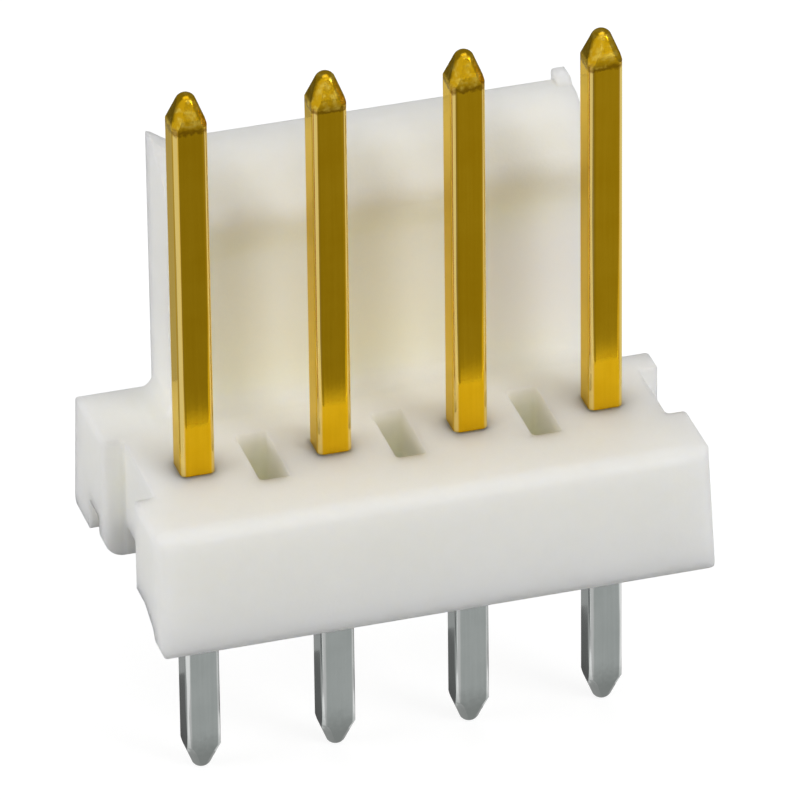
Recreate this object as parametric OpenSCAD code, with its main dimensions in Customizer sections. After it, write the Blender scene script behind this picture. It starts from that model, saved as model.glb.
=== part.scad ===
// Four-way pin header with a friction lock, 2.54 mm pitch, for a printed circuit board.
// Four square posts stand in one moulded base. A wall behind them holds the mating plug.
// The origin is on the board face, midway along the row of posts.
// X runs along the row, Y points to the lock wall, Z points up.

/* [Posts] */
// Distance between neighbouring posts
pitch = 2.54; // [2.4:0.01:2.7]
// Side of the square post
post_w = 0.64; // [0.5:0.01:0.76]
// Radius on the long corners of the post
post_r = 0.12; // [0.06:0.01:0.16]
// Post length above the top of the base
mate_l = 7.6; // [6:0.1:11]
// Post length below the board face
tail_l = 3.9; // [2.6:0.1:5.5]
// Length of the taper at each end of the post
tip_l = 0.5; // [0.3:0.05:0.8]
// Width across the flats at the very end of a taper
tip_w = 0.26; // [0.2:0.01:0.36]
// Radius of the dome at each end of the post
tip_r = 0.2; // [0.14:0.01:0.24]
// Radius where a taper meets the shank
shoulder_r = 0.5; // [0.1:0.05:0.6]

/* [Base] */
// Height of the base above the board
base_h = 2.4; // [2.1:0.02:3.2]
// Base length beyond the centre of each end post
end_over = 1.36; // [1.2:0.01:1.5]
// Post centre to the front face, at the top
front_d = 2.19; // [1.9:0.02:2.6]
// Post centre to the rear face, at the top
rear_d = 3.06; // [2.8:0.02:3.4]
// Outward lean of the front face, in degrees
front_draft = 10.5; // [2:0.5:14]
// Outward lean of the rear face, in degrees
rear_draft = 6; // [1:0.5:8]
// Radius on the long front top edge
front_r = 0.3; // [0.1:0.01:0.4]
// Radius on the upright front corners
corner_r = 0.2; // [0.1:0.01:0.35]
// Radius on the other edges of the base
edge_r = 0.1; // [0.05:0.01:0.14]
// Radius on the bottom corners at the front
foot_end_r = 0.3; // [0.05:0.01:0.35]

/* [Stand-off rails] */
// Gap between the board and the underside of the base
standoff = 0.65; // [0.4:0.05:0.75]
// Width of the front rail where it meets the board
front_rail_w = 0.42; // [0.3:0.02:0.6]
// Length of the ramp from the front rail up to the underside
ramp_l = 0.75; // [0.5:0.05:0.9]
// Post centre to the front of the rear rails
rear_rail_d = 1.2; // [1.1:0.05:1.4]
// Width of the inner rear rail
rear_rail_w = 0.42; // [0.3:0.02:0.5]
// Width of the groove between the two rear rails
groove_w = 0.66; // [0.4:0.02:0.8]
// Radius on the long edges of the rails
rail_r = 0.1; // [0.05:0.01:0.12]
// Radius on the long front edge of the front rail
foot_front_r = 0.28; // [0.1:0.02:0.3]
// Radius on the rounded end of the inner rear rail
rail_end_r = 0.38; // [0.2:0.02:0.4]

/* [Pockets] */
// Width of the pocket between neighbouring posts
pocket_w = 0.58; // [0.4:0.02:0.7]
// Length of a pocket across the row
pocket_l = 1.66; // [1.2:0.02:1.8]
// Thickness of the floor under a pocket
pocket_floor = 0.45; // [0.3:0.05:0.6]
// Depth of the notch in each end face
notch_d = 0.4; // [0.25:0.01:0.45]
// Post centre to the rear side of the left notch
wing_d = 1.27; // [1.2:0.01:1.4]
// Post centre to the rear edge of the right end
fin_d = 1.35; // [1.25:0.01:1.5]

/* [Friction lock] */
// Height of the lock wall above the base
lock_h = 5.05; // [4:0.05:6.5]
// Post centre to the front of the wall
lock_d = 1.75; // [1.65:0.05:2]
// Distance the catch stands out from the wall
catch_out = 0.32; // [0.15:0.01:0.4]
// Height of the catch crest below the top of the wall
catch_drop = 1.05; // [0.9:0.05:1.4]
// Left end of the wall, measured inward from the first post
lock_left = 0.07; // [0:0.01:0.2]
// Right end of the wall, measured outward from the last post
lock_right = 0.3; // [0:0.01:0.4]
// Height of the ears at the ends of the wall
ear_h = 0.19; // [0.1:0.01:0.3]
// Length along the row of the sloping left ear
ear_l = 0.28; // [0.2:0.01:0.4]
// Thickness along the row of the rounded right ear
ear_t = 0.27; // [0.2:0.01:0.35]
// Height over which the wall runs back to its front face under the catch
catch_run = 0.8; // [0.5:0.05:1]
// Wall front to the upper end of the lead-in slope above the catch
lead_back = 0.45; // [0.3:0.01:0.5]
// Radius on the crest of the catch
catch_r = 0.5; // [0.1:0.02:0.6]
// Radius between the lead-in slope and the top of the wall
lead_r = 0.8; // [0.1:0.05:1]
// Radius on the long rear edge at the top of the wall
top_r = 0.18; // [0.08:0.02:0.24]
// Radius at the foot of the wall, at the front and the left end
foot_r = 0.38; // [0.2:0.02:0.5]

/* [Hidden] */
$fn = 48;
posts = 4;
// Length by which cutting shapes run past the faces that they cut
past = 1;
// Centre of the end posts and half the length of the base at its top
row_half = (posts - 1) * pitch / 2;
base_half = row_half + end_over;
front_out = base_h * tan(front_draft);
rear_out = base_h * tan(rear_draft);
// Ends of the wall along the row
wall_left = -row_half + lock_left;
wall_right = row_half + lock_right;
wall_top = base_h + lock_h;
catch_z = wall_top - catch_drop;
catch_d = lock_d - catch_out;
// Upper end of the lead-in slope
lead_d = lock_d + lead_back;
// Depth to which the ears are rooted below the top of the wall
ear_root = 2 * ear_h;
// Front of the fillet at the foot of the wall, and depth to which the wall runs down in the base
foot_d = lock_d - 1.5 * foot_r;
sunk = base_h / 4;
// Ramp behind the front rail: foot, height of the bend, radius at the bend
ramp_d = front_d + front_out - front_rail_w;
ramp_z = 0.64 * standoff;
ramp_r = 0.2 * ramp_l;
// Front and rear of the groove between the rear rails
groove_d = rear_rail_d + rear_rail_w;
rear_foot_d = groove_d + groove_w;

function unit(v) = v / norm(v);
// Half the angle between the two sides that meet at a corner
function half_angle(a, p, b) = acos(unit(a - p) * unit(b - p)) / 2;
function is_outer(a, p, b) = (p[0] - a[0]) * (b[1] - p[1]) - (p[1] - a[1]) * (b[0] - p[0]) > 0;
function arc_centre(a, p, b, r) = p + unit(unit(a - p) + unit(b - p)) * r / sin(half_angle(a, p, b));
// Points where an arc of radius r meets the two sides of a corner
function tangents(a, p, b, r) =
    let (t = r / tan(half_angle(a, p, b)))
    [p + unit(a - p) * t, p + unit(b - p) * t];

// Part of the arc's disc that lies between the two points where it meets the sides
module arc_sector(a, p, b, r) {
    c = arc_centre(a, p, b, r);
    t = tangents(a, p, b, r);
    intersection() {
        translate(c)
            circle(r);
        polygon([c, c + 2 * (t[0] - c), c + 2 * (p - c), c + 2 * (t[1] - c)]);
    }
}

// Outline through corners [x, y, radius], listed anticlockwise, with a true arc at each corner
module rounded(corners) {
    n = len(corners);
    pts = [for (c = corners) [c[0], c[1]]];
    function before(i) = pts[(i + n - 1) % n];
    function after(i) = pts[(i + 1) % n];
    difference() {
        union() {
            polygon([for (i = [0 : n - 1]) each tangents(before(i), pts[i], after(i), corners[i][2])]);
            for (i = [0 : n - 1])
                if (is_outer(before(i), pts[i], after(i)))
                    arc_sector(before(i), pts[i], after(i), corners[i][2]);
        }
        for (i = [0 : n - 1])
            if (!is_outer(before(i), pts[i], after(i)))
                arc_sector(before(i), pts[i], after(i), corners[i][2]);
    }
}

// Extrudes a Y-Z section along the row, from x0 to x1
module along_x(x0, x1) {
    translate([x0, 0, 0])
        rotate([90, 0, 90])
            linear_extrude(x1 - x0)
                children();
}

// Extrudes an X-Z section across the row, from y0 to y1
module along_y(y0, y1) {
    translate([0, y1, 0])
        rotate([90, 0, 0])
            linear_extrude(y1 - y0)
                children();
}

// Section of the base across the row: front rail, ramp, underside, two rear rails, top
module base_section() {
    rounded([
        [-front_d - front_out, 0, foot_front_r],
        [-ramp_d, 0, rail_r],
        [-ramp_d + 0.27 * ramp_l, ramp_z, ramp_r],
        [-ramp_d + ramp_l, standoff, 2 * ramp_r],
        [rear_rail_d, standoff, rail_r],
        [rear_rail_d, 0, rail_r],
        [groove_d, 0, rail_r],
        [groove_d, standoff, rail_r],
        [rear_foot_d, standoff, rail_r],
        [rear_foot_d, 0, rail_r],
        [rear_d + rear_out, 0, 2 * rail_r],
        [rear_d, base_h, edge_r],
        [-front_d, base_h, front_r]
    ]);
}

// Outline of the base from above: a notch in each end, and the right rear corner left out
module base_plan() {
    far = front_d + front_out + past;
    side = pocket_l / 2;
    rounded([
        [-base_half, -far, edge_r],
        [base_half, -far, edge_r],
        [base_half, -side, edge_r],
        [base_half - notch_d, -side, edge_r],
        [base_half - notch_d, side, edge_r],
        [base_half, side, edge_r],
        [base_half, fin_d, edge_r],
        [wall_right, fin_d, edge_r],
        [wall_right, far, edge_r],
        [-base_half, far, edge_r],
        [-base_half, wing_d, edge_r],
        [-base_half + notch_d, wing_d, edge_r],
        [-base_half + notch_d, -side, edge_r],
        [-base_half, -side, edge_r]
    ]);
}

// Section of the base along the row, with radius r on its bottom corners
module base_front(r) {
    rounded([
        [-base_half, 0, r],
        [base_half, 0, r],
        [base_half, base_h, edge_r],
        [-base_half, base_h, edge_r]
    ]);
}

// What is left outside a round of radius r on an upright edge that leans out towards the board
module edge_waste(lean, r) {
    rotate([lean, 0, 0])
        translate([0, 0, -base_h - past])
            linear_extrude(base_h + 2 * past)
                round_waste(r);
}

// Section of the lock wall: foot, front face, catch, lead-in, top, rear face
module wall_section() {
    rounded([
        [foot_d, base_h - sunk, edge_r / 2],
        [rear_d, base_h - sunk, edge_r / 2],
        [rear_d, wall_top, top_r],
        [lead_d, wall_top, lead_r],
        [catch_d, catch_z, catch_r],
        [lock_d, catch_z - catch_run, catch_r],
        [lock_d, base_h, foot_r],
        [foot_d, base_h, edge_r / 2]
    ]);
}

// Section of an ear across the row: it leans back from the lead-in slope
module ear_section(front) {
    rounded([
        [front, wall_top - ear_root, ear_h / 4],
        [rear_d, wall_top - ear_root, ear_h / 4],
        [rear_d, wall_top + ear_h, top_r / 2],
        [front + ear_root, wall_top + ear_h, ear_h / 2]
    ]);
}

// Left ear, a wedge that runs out along the top of the wall
module left_ear() {
    intersection() {
        along_x(wall_left, wall_left + 4 * ear_l)
            ear_section(lead_d);
        along_y(0, rear_d + past)
            translate([wall_left, wall_top])
                polygon([
                    [0, -ear_root],
                    [3 * ear_l, -ear_root],
                    [0, ear_h]
                ]);
    }
}

// Right ear, a lobe with a rounded top
module right_ear() {
    intersection() {
        along_x(wall_right - ear_t, wall_right)
            ear_section(lead_d + ear_h);
        along_y(0, rear_d + past)
            rounded([
                [wall_right - ear_t, 0, ear_t / 4],
                [wall_right, 0, ear_t / 4],
                [wall_right, wall_top + ear_h, ear_t / 2.5],
                [wall_right - ear_t, wall_top + ear_h, ear_t / 2.5]
            ]);
    }
}

// Concave quarter round that fills a square inside corner at the origin
module quarter_fill(r) {
    difference() {
        square(r);
        translate([r, r])
            circle(r);
    }
}

// What is left outside a round of radius r on a square outside corner at the origin
module round_waste(r) {
    difference() {
        translate([-past, -past])
            square(r + past);
        translate([r, r])
            circle(r);
    }
}

module lock_wall() {
    along_x(wall_left, wall_right)
        wall_section();
    left_ear();
    right_ear();
    // Round at the left end of the wall, where it grows out of the base, and round its front corner
    along_y(lock_d, rear_d - 1.5 * edge_r)
        translate([wall_left, base_h])
            mirror([1, 0])
                quarter_fill(foot_r);
    translate([wall_left, lock_d, base_h])
        intersection() {
            rotate_extrude()
                quarter_fill(foot_r);
            translate([-2 * foot_r, -2 * foot_r, -foot_r])
                cube([2 * foot_r, 2 * foot_r, 3 * foot_r]);
        }
}

// Outline of a pocket from above
module pocket_plan() {
    rounded([
        [-pocket_w / 2, -pocket_l / 2, edge_r],
        [pocket_w / 2, -pocket_l / 2, edge_r],
        [pocket_w / 2, pocket_l / 2, edge_r],
        [-pocket_w / 2, pocket_l / 2, edge_r]
    ]);
}

// Section of a post, a square with rounded corners
module post_section() {
    h = post_w / 2;
    rounded([
        [-h, -h, post_r],
        [h, -h, post_r],
        [h, h, post_r],
        [-h, h, post_r]
    ]);
}

// Side view of a post: straight shank with a taper at each end
module post_side() {
    h = post_w / 2;
    e = tip_w / 2;
    // The flats run on past the domed ends
    run = tip_r / 4;
    n = e - run * (h - e) / tip_l;
    z0 = -tail_l;
    z1 = base_h + mate_l;
    rounded([
        [-n, z0 - run, n / 4],
        [n, z0 - run, n / 4],
        [h, z0 + tip_l, shoulder_r],
        [h, z1 - tip_l, shoulder_r],
        [n, z1 + run, n / 4],
        [-n, z1 + run, n / 4],
        [-h, z1 - tip_l, shoulder_r],
        [-h, z0 + tip_l, shoulder_r]
    ]);
}

// Turned form that takes the sharp edges off the tapers: a dome and a cone at each end
module post_turned() {
    z0 = -tail_l + tip_r;
    z1 = base_h + mate_l - tip_r;
    // Slope of the cones, and the radius where they meet the domes
    lean = 26;
    touch = tip_r * cos(lean);
    rise = tip_r * sin(lean);
    wide = 0.75 * post_w;
    cone = (wide - touch) / tan(lean);
    rotate_extrude()
        intersection() {
            union() {
                polygon([
                    [0, z0 - rise],
                    [touch, z0 - rise],
                    [wide, z0 - rise + cone],
                    [wide, z1 + rise - cone],
                    [touch, z1 + rise],
                    [0, z1 + rise]
                ]);
                translate([0, z0])
                    circle(tip_r);
                translate([0, z1])
                    circle(tip_r);
            }
            translate([0, z0 - 2 * tip_r])
                square([2 * wide, z1 - z0 + 4 * tip_r]);
        }
}

function post_x(i) = (i - (posts + 1) / 2) * pitch;

module post(i) {
    color("goldenrod")
        translate([post_x(i), 0, 0])
            intersection() {
                translate([0, 0, -tail_l - past])
                    linear_extrude(base_h + mate_l + tail_l + 2 * past)
                        post_section();
                along_x(-post_w, post_w)
                    post_side();
                along_y(-post_w, post_w)
                    post_side();
                post_turned();
            }
}

module housing() {
    color("ivory")
        difference() {
            union() {
                intersection() {
                    along_x(-base_half - past, base_half + past)
                        base_section();
                    linear_extrude(base_h)
                        base_plan();
                    union() {
                        along_y(-front_d - front_out - past, pocket_l / 4)
                            base_front(foot_end_r);
                        along_y(-pocket_l / 4, rear_d + rear_out + past)
                            base_front(edge_r / 2);
                    }
                }
                lock_wall();
            }
            // Rounds on the upright edges at the front
            translate([-base_half, -front_d, base_h])
                edge_waste(-front_draft, corner_r);
            translate([base_half, -front_d, base_h])
                mirror([1, 0, 0])
                    edge_waste(-front_draft, corner_r);
            // Pockets between the posts
            for (i = [1 : posts - 1])
                translate([post_x(i) + pitch / 2, 0, standoff + pocket_floor])
                    linear_extrude(base_h)
                        pocket_plan();
            // Rounded left end of the inner rear rail
            along_y(rear_rail_d - rail_r, groove_d + rail_r)
                translate([-base_half, 0])
                    round_waste(rail_end_r);
            // Right end of the inner rear rail, level with the end of the wall
            translate([wall_right, rear_rail_d - rail_r, -past])
                cube([base_half, fin_d, standoff + past]);
            // Square holes that grip the posts
            for (i = [1 : posts])
                translate([post_x(i), 0, -past])
                    linear_extrude(base_h + 2 * past)
                        post_section();
        }
}

module pin_1() {
    post(1);
}

module pin_2() {
    post(2);
}

module pin_3() {
    post(3);
}

module pin_4() {
    post(4);
}

housing();
pin_1();
pin_2();
pin_3();
pin_4();
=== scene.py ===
import bmesh
import bpy
import math
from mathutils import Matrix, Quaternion, Vector


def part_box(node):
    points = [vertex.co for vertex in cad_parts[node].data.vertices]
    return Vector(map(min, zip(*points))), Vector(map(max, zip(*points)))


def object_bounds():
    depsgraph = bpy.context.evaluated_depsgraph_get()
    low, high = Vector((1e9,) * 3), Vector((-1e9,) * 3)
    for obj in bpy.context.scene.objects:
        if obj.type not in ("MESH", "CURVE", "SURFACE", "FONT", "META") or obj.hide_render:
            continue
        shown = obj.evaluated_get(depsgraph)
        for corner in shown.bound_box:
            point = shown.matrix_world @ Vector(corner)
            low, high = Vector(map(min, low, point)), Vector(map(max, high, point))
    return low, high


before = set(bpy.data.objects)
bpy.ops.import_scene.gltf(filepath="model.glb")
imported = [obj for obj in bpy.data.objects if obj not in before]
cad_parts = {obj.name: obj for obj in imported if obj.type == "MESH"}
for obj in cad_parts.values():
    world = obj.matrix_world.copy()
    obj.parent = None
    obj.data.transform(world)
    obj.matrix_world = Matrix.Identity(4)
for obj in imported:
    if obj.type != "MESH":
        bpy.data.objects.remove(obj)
cad_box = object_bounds()


# The housing is one moulding of unfilled natural nylon: the slotted base that sits on the board, and the
# springy locking wall with its catch behind the posts. It leaves the tool milky, with a satin skin and soft
# edges. Its hollows and the wall under the catch carry a painted glow, warmer and paler, from an occlusion
# mask: it stands in for light that soaks into the nylon and bounces off the gold. The lower right part of
# the wall is painted paler as well, as painted light.
MM = 0.001
BASE_TOP = 2.4 * MM
BASE_TO_WALL = (BASE_TOP, 3.4 * MM)
RIGHT_END = (0.4 * MM, 2.8 * MM)
RIGHT_END_TOP = (4.6 * MM, 6.2 * MM)
HOLLOW_REACH = 6.0 * MM
POCKET_AIR = (0.1, 0.4)
BASE_AIR = (0.3, 1.05)
WALL_AIR = (0.1, 0.9)
RAYS = 4
EDGE_ROUND = 0.12 * MM
SKIN_RELIEF = 0.012 * MM
LIGHT_DEPTH = 1.4 * MM
CLOUD_GRAIN = 420.0
MOTTLE_GRAIN = 3200.0
SKIN_GRAIN = 14000.0
NOISE_SPREAD = (0.3, 0.7)
MILK = ((0.850, 0.846, 0.803, 1.0), (0.870, 0.867, 0.830, 1.0))
PAINTED_LIGHT_MILK = (0.980, 0.968, 0.905, 1.0)
BASE_HOLLOW_GLOW = ((0.988, 0.970, 0.880, 1.0), (0.993, 0.977, 0.900, 1.0))
POCKET_HOLLOW_GLOW = ((0.992, 0.966, 0.800, 1.0), (0.996, 0.974, 0.820, 1.0))
WALL_HOLLOW_GLOW = ((0.985, 0.924, 0.738, 1.0), (0.990, 0.934, 0.763, 1.0))
RIGHT_END_HOLLOW_GLOW = ((0.996, 0.972, 0.850, 1.0), (0.998, 0.978, 0.870, 1.0))


class Socket:
    """One socket of a finish. Sums on it add Math nodes, and node() adds any other kind."""

    def __init__(self, tree, socket=None):
        self.tree = tree
        self.socket = socket

    def node(self, kind, settings=None, values=None, out=0):
        made = self.tree.nodes.new(kind)
        for name, value in (settings or {}).items():
            setattr(made, name, value)
        for name, value in (values or {}).items():
            if isinstance(value, Socket):
                self.tree.links.new(value.socket, made.inputs[name])
            else:
                made.inputs[name].default_value = value
        return Socket(self.tree, made.outputs[out] if len(made.outputs) else None)

    def sums(self, operation, *terms):
        return self.node("ShaderNodeMath", {"operation": operation}, dict(enumerate(terms)))

    def __add__(self, other):
        return self.sums("ADD", self, other)

    def __radd__(self, other):
        return self.sums("ADD", other, self)

    def __sub__(self, other):
        return self.sums("SUBTRACT", self, other)

    def __rsub__(self, other):
        return self.sums("SUBTRACT", other, self)

    def __mul__(self, other):
        return self.sums("MULTIPLY", self, other)

    def __rmul__(self, other):
        return self.sums("MULTIPLY", other, self)

    def blend(self, low, high):
        return self.node("ShaderNodeMix", {"data_type": "RGBA"}, {0: self, 6: low, 7: high}, 2)

    def between(self, low, high):
        smooth = {"interpolation_type": "SMOOTHSTEP"}
        return self.node("ShaderNodeMapRange", smooth, {0: self, 1: low, 2: high})

    def along(self, axis):
        return self.node("ShaderNodeSeparateXYZ", None, {0: self}, axis)

    def noise(self, scale, detail, roughness=0.5):
        return self.node("ShaderNodeTexNoise", None, {
            "Vector": self,
            "Scale": scale,
            "Detail": detail,
            "Roughness": roughness,
        })


def finish(name):
    material = bpy.data.materials.new(name)
    material.use_nodes = True
    material.node_tree.nodes.clear()
    return material, Socket(material.node_tree)


nylon, start = finish("natural_nylon")
place = start.node("ShaderNodeTexCoord", out="Object")
across = place.along("X")
height = place.along("Z")
cloud = place.noise(CLOUD_GRAIN, 3.0)
mottle = place.noise(MOTTLE_GRAIN, 4.0)
skin = place.noise(SKIN_GRAIN, 3.0, 0.6)
tint = (0.6 * cloud + 0.4 * mottle).between(*NOISE_SPREAD)
milk = tint.blend(*MILK)
# Painted light: the lower right part of the wall is painted paler, in its hollows and in the open.
right_end_light = across.between(*RIGHT_END) * (1.0 - height.between(*RIGHT_END_TOP))
wall_hollow_glow = right_end_light.blend(tint.blend(*WALL_HOLLOW_GLOW), tint.blend(*RIGHT_END_HOLLOW_GLOW))
wall_milk_and_painted_light = right_end_light.blend(milk, PAINTED_LIGHT_MILK)
# Painted glow: the occlusion mask turns hollows warmer and paler, for light that soaks in and bounces off
# the gold.
open_air = start.node("ShaderNodeAmbientOcclusion", {"samples": RAYS}, {"Distance": HOLLOW_REACH}, "AO")
base_hollow_glow = open_air.between(*POCKET_AIR).blend(tint.blend(*POCKET_HOLLOW_GLOW), tint.blend(*BASE_HOLLOW_GLOW))
base_milk_and_painted_glow = open_air.between(*BASE_AIR).blend(base_hollow_glow, milk)
wall_milk_and_painted_glow = open_air.between(*WALL_AIR).blend(wall_hollow_glow, wall_milk_and_painted_light)
soft_edge = start.node("ShaderNodeBevel", {"samples": RAYS}, {"Radius": EDGE_ROUND})
relief = start.node("ShaderNodeBump", None, {
    "Strength": 0.25,
    "Distance": SKIN_RELIEF,
    "Height": 0.7 * skin + 0.3 * mottle,
    "Normal": soft_edge,
})
nylon_body = start.node("ShaderNodeBsdfPrincipled", None, {
    "Base Color": height.between(*BASE_TO_WALL).blend(base_milk_and_painted_glow, wall_milk_and_painted_glow),
    "Roughness": 0.44 + 0.14 * mottle,
    "IOR": 1.53,
    "Specular IOR Level": 0.35,
    "Subsurface Weight": 1.0,
    "Subsurface Radius": (1.0, 0.97, 0.88),
    "Subsurface Scale": LIGHT_DEPTH,
    "Normal": relief,
})
start.node("ShaderNodeOutputMaterial", None, {"Surface": nylon_body})
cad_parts["housing"].data.materials[0] = nylon


# The four posts are square wire, drawn, cut and pointed at both ends, and pressed through the base. The
# mating ends are flashed with gold and scuffed at the tips. A painted highlight brightens the rounded
# corners, and a painted shade darkens the shoulder where each tip begins. The tails under the base are plain
# tin for soldering, with the same painted highlight on their corners, dull where they were sheared off.
POSTS = ("pin_1", "pin_2", "pin_3", "pin_4")
PLATING_LINE = (1.0 * MM, 1.15 * MM)
PLATING_WAVER = 0.4 * MM
SHOULDER = (9.30 * MM, 9.36 * MM)
TIP = (9.36 * MM, 9.48 * MM)
TIP_WAVER = 0.2 * MM
SHEARED_END = (-2.9 * MM, -3.6 * MM)
SHEARED_WAVER = 0.3 * MM
CORNER_TURN = (0.03, 0.2)
SCUFFS = (0.45, 0.68)
WIRE_RELIEF = 0.003 * MM
DRAWN_OUT = (1.0, 1.0, 0.03)
DRAWN_GRAIN = 16000.0
PATCH_GRAIN = 1500.0
GRIT_GRAIN = 9000.0
GOLD = ((0.74, 0.425, 0.006, 1.0), (0.80, 0.475, 0.011, 1.0))
CORNER_HIGHLIGHT_GOLD = (0.93, 0.72, 0.25, 1.0)
SHOULDER_SHADE_GOLD = (0.30, 0.15, 0.004, 1.0)
SCUFFED_GOLD = (0.97, 0.70, 0.11, 1.0)
GLANCING_GOLD = (1.0, 0.97, 0.62, 1.0)
TIN = ((0.582, 0.630, 0.612, 1.0), (0.642, 0.690, 0.672, 1.0))
CORNER_HIGHLIGHT_TIN = (0.93, 0.95, 0.94, 1.0)
SHEARED_TIN = (0.345, 0.370, 0.355, 1.0)

contact, start = finish("gold_and_tin")
place = start.node("ShaderNodeTexCoord", out="Object")
facing = start.node("ShaderNodeTexCoord", out="Normal")
height = place.along("Z")
side = facing.along("X")
front = facing.along("Y")
drawn = start.node("ShaderNodeMapping", None, {"Vector": place, "Scale": DRAWN_OUT})
lines = drawn.noise(DRAWN_GRAIN, 4.0)
patches = place.noise(PATCH_GRAIN, 4.0)
grit = place.noise(GRIT_GRAIN, 3.0)
worn = (0.4 * lines + 0.6 * patches).between(*NOISE_SPREAD)
# Painted highlight: the rounded corners of the posts, found from the normal, are painted brighter.
corner = (side * side * front * front + 0.06 * (patches - 0.5)).between(*CORNER_TURN)
plated = (height + (patches - 0.5) * PLATING_WAVER).between(*PLATING_LINE)
ragged = height + (grit - 0.5) * TIP_WAVER
past_shoulder = ragged.between(*SHOULDER)
clear = ragged.between(*TIP)
gold_with_corner_highlight = (0.85 * corner * (1.0 - clear)).blend(worn.blend(*GOLD), CORNER_HIGHLIGHT_GOLD)
# Painted shade: a dark band at the shoulder, where each tip begins.
shoulder = (0.8 * past_shoulder * (1.0 - clear)).blend(gold_with_corner_highlight, SHOULDER_SHADE_GOLD)
gold = (0.7 * clear * grit.between(*SCUFFS)).blend(shoulder, SCUFFED_GOLD)
sheared = (height + (grit - 0.5) * SHEARED_WAVER).between(*SHEARED_END)
tin_with_corner_highlight = (0.9 * corner).blend(worn.blend(*TIN), CORNER_HIGHLIGHT_TIN)
tin = (0.8 * sheared).blend(tin_with_corner_highlight, SHEARED_TIN)
relief = start.node("ShaderNodeBump", None, {
    "Strength": 0.10,
    "Distance": WIRE_RELIEF,
    "Height": 0.5 * lines + 0.5 * grit + 2.5 * past_shoulder * grit,
})
gold_face = start.node("ShaderNodeBsdfPrincipled", None, {
    "Base Color": gold,
    "Metallic": 1.0,
    "Roughness": 0.05 + 0.05 * lines + 0.17 * past_shoulder,
    "Specular Tint": GLANCING_GOLD,
    "Normal": relief,
})
tin_face = start.node("ShaderNodeBsdfPrincipled", None, {
    "Base Color": tin,
    "Metallic": 1.0,
    "Roughness": 0.11 + 0.05 * lines,
    "Normal": relief,
})
metal = start.node("ShaderNodeMixShader", None, {0: plated, 1: tin_face, 2: gold_face})
start.node("ShaderNodeOutputMaterial", None, {"Surface": metal})
for name in POSTS:
    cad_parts[name].data.materials[0] = contact


# The floor is a plain sheet of pale paper, level with the ends of the tails. The light that bounces up to
# the part comes from a slightly darker table just beneath it, so the underside keeps some shade.
FLOOR_TOP = cad_box[0][2]
TABLE_TOP = FLOOR_TOP - 0.1 * MM
FLOOR_LOW = (-3.0, -3.0)
FLOOR_HIGH = (3.0, 3.0)
PAPER_GLOW = 0.85
FIBRE_GRAIN = 600.0
TABLE_GRAIN = 300.0


def grey(level):
    return (level, level, level, 1.0)


def matt(begin, colour, light=grey(0.0), strength=0.0):
    face = begin.node("ShaderNodeBsdfPrincipled", None, {
        "Base Color": colour,
        "Roughness": 0.8,
        "Specular IOR Level": 0.0,
        "Emission Color": light,
        "Emission Strength": strength,
    })
    begin.node("ShaderNodeOutputMaterial", None, {"Surface": face})


def flat_card(name, low, high, level, material, unseen_by):
    mesh = bpy.data.meshes.new(name)
    form = bmesh.new()
    bmesh.ops.create_grid(form, x_segments=1, y_segments=1, size=0.5)
    bmesh.ops.scale(form, vec=(high[0] - low[0], high[1] - low[1], 1.0), verts=form.verts)
    middle = ((low[0] + high[0]) / 2, (low[1] + high[1]) / 2, level)
    bmesh.ops.translate(form, vec=middle, verts=form.verts)
    form.to_mesh(mesh)
    form.free()
    mesh.materials.append(material)
    card = bpy.data.objects.new(name, mesh)
    for ray in unseen_by:
        setattr(card, "visible_" + ray, False)
    bpy.context.scene.collection.objects.link(card)


paper, start = finish("white_paper")
fibre = start.node("ShaderNodeTexCoord", out="Object").noise(FIBRE_GRAIN, 3.0)
matt(start, fibre.blend(grey(0.24), grey(0.26)), grey(1.0), PAPER_GLOW)
flat_card("floor", FLOOR_LOW, FLOOR_HIGH, FLOOR_TOP, paper, ("diffuse", "glossy", "shadow", "transmission"))

table, start = finish("grey_table")
grain = start.node("ShaderNodeTexCoord", out="Object").noise(TABLE_GRAIN, 3.0)
matt(start, grain.blend(grey(0.27), grey(0.29)))
flat_card("table", FLOOR_LOW, FLOOR_HIGH, TABLE_TOP, table, ("camera", "glossy"))


# Plain cards lie in layers on the floor, and one hangs above it, where nothing but a reflection sees them.
# They give the flat faces of the posts something to mirror: pale paper and dimmer strips in front and
# behind. Some are painted shadows: the cards under and far behind the part and those at the foot of each
# tail stand in for the shadow the part casts on the floor.
LAYER = 0.02 * MM
HUNG_LEVEL = 0.25
PALE = 0.72
DIM = 0.46
UNDER_SHADOW = 0.36
SHADE = 0.13
FAR_LEFT_TONE = 0.285
FAR_RIGHT_TONE = 0.36
FAR_ACROSS = (0.0, 12.0 * MM)
FAR_FADE = (-12.8 * MM, -12.25 * MM)
FOOT_FRONT = -0.9 * MM
FOOT_BACK = 0.4 * MM
SHADE_LEFT = 0.95 * MM
SHADE_BACK = 3.0 * MM
FOOT_MARGIN = 0.1 * MM


def glow(name, level):
    material, begin = finish(name)
    matt(begin, grey(0.0), grey(level), 1.0)
    return material


def mirrored_card(name, low, high, level, material):
    flat_card(name, low, high, level, material, ("camera", "diffuse", "shadow", "transmission"))


pale = glow("pale_card", PALE)
dim = glow("dim_card", DIM)
under_shadow = glow("under_shadow_card", UNDER_SHADOW)
shade = glow("shade_card", SHADE)
fading, start = finish("fading_card")
place = start.node("ShaderNodeTexCoord", out="Object")
far_tone = place.along("X").between(*FAR_ACROSS).blend(grey(FAR_LEFT_TONE), grey(FAR_RIGHT_TONE))
fade_tone = place.along("Y").between(*FAR_FADE).blend(far_tone, grey(PALE))
matt(start, grey(0.0), fade_tone, 1.0)

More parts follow.
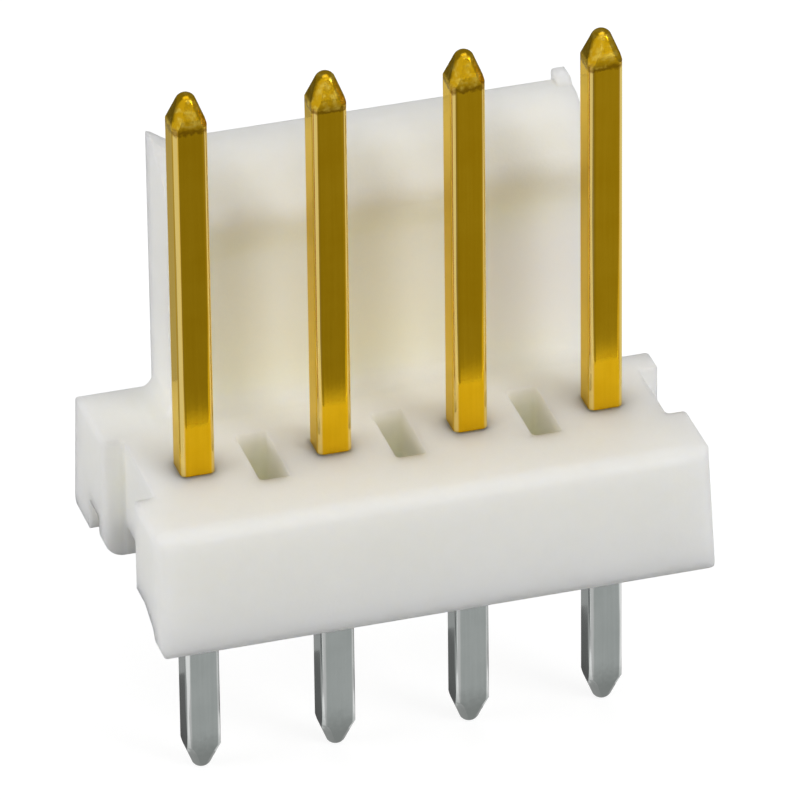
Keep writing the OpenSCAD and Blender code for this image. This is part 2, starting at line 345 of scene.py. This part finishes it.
first = FLOOR_TOP + LAYER
second = first + LAYER
third = second + LAYER
mirrored_card("wide_card", (-1.0, -1.0), (1.0, 1.0), first, pale)
mirrored_card("far_card", (-10.0 * MM, -0.60), (60.0 * MM, -11.9 * MM), second, fading)
mirrored_card("near_card", (-6.0 * MM, -6.5 * MM), (7.0 * MM, FOOT_FRONT), second, dim)
# Painted shadow: the part's shadow on the floor under and behind it.
mirrored_card("under_card", (-7.0 * MM, FOOT_BACK), (5.0 * MM, 12.0 * MM), second, under_shadow)
# Painted shadow: the wall's shadow on the floor far behind the part.
mirrored_card("back_card", (-0.60, 23.8 * MM), (0.60, 0.60), second, shade)
mirrored_card("rear_card", (-22.0 * MM, 4.0 * MM), (-7.5 * MM, 30.0 * MM), third, dim)
mirrored_card("upper_card", (-1.60, -1.00), (0.35, -0.08), HUNG_LEVEL, pale)
for name in POSTS:
    low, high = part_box(name)
    left = low[0]
    right = high[0]
    foot = ((left - FOOT_MARGIN, FOOT_FRONT), (right + FOOT_MARGIN, FOOT_BACK))
    beside = ((left - SHADE_LEFT, FOOT_BACK), (left + FOOT_MARGIN, SHADE_BACK))
    # Painted shadows on the floor under each tail and behind its left side.
    mirrored_card("under_" + name, *foot, second, dim)
    mirrored_card("behind_" + name, *beside, third, shade)


# Soft studio light: an even pale room, the key panel low at the front right, one overhead, one at the left
# and a weak one behind, which the thin wall lets through. The posts mirror only the key and the overhead.
ROOM_STRENGTH = 0.235
PANEL_DISTANCE = 0.3

room = bpy.data.worlds.new("pale_room")
room.use_nodes = True
room.node_tree.nodes["Background"].inputs["Color"].default_value = grey(1.0)
room.node_tree.nodes["Background"].inputs["Strength"].default_value = ROOM_STRENGTH
bpy.context.scene.world = room


def direction(azimuth, elevation):
    turn = math.radians(azimuth)
    rise = math.radians(elevation)
    return Vector((
        math.sin(turn) * math.cos(rise),
        -math.cos(turn) * math.cos(rise),
        math.sin(rise),
    ))


def panel(name, towards, size, power, mirrored):
    lamp = bpy.data.lights.new(name, "AREA")
    lamp.shape = "SQUARE"
    lamp.size = size
    lamp.energy = power
    lit = bpy.data.objects.new(name, lamp)
    lit.location = PANEL_DISTANCE * towards
    lit.rotation_euler = (-towards).to_track_quat("-Z", "Y").to_euler()
    lit.visible_camera = False
    lit.visible_glossy = mirrored
    bpy.context.scene.collection.objects.link(lit)


panel("key", direction(42.0, 20.0), size=0.15, power=0.45, mirrored=True)
panel("overhead", direction(8.0, 72.0), size=0.28, power=0.28, mirrored=True)
panel("left_side", direction(-92.0, 14.0), size=0.20, power=0.58, mirrored=False)
panel("back_glow", direction(170.0, 20.0), size=0.20, power=0.24, mirrored=False)


# The camera stands in front, a little to the left and above, as the picture was taken. It is a long lens far
# off, fitted to the outline of the part with the pitch of the posts as its scale. Its lengths along the
# picture are in pixels of the frame.
FRAME_SIDE = 800.0
FOCAL_LENGTH = 10221.0
SHIFT_ACROSS = 1.3
SHIFT_UP = 33.0
SENSOR = 36.0
AIM = Vector((0.0, 0.0, BASE_TOP))
AZIMUTH = -16.47
ELEVATION = 30.76
ROLL = math.radians(-0.69)
DISTANCE = 183.1 * MM
NEAREST = 0.01
FARTHEST = 5.0

back = direction(AZIMUTH, ELEVATION)
lens = bpy.data.cameras.new("camera")
lens.sensor_width = SENSOR
lens.lens = SENSOR * FOCAL_LENGTH / FRAME_SIDE
lens.shift_x = SHIFT_ACROSS / FRAME_SIDE
lens.shift_y = SHIFT_UP / FRAME_SIDE
lens.clip_start = NEAREST
lens.clip_end = FARTHEST
camera = bpy.data.objects.new("camera", lens)
camera.location = AIM + back * DISTANCE
camera.rotation_mode = "QUATERNION"
camera.rotation_quaternion = (-back).to_track_quat("-Z", "Y") @ Quaternion((0.0, 0.0, 1.0), ROLL)
bpy.context.scene.collection.objects.link(camera)
bpy.context.scene.camera = camera
bpy.context.scene.view_settings.view_transform = "Standard"
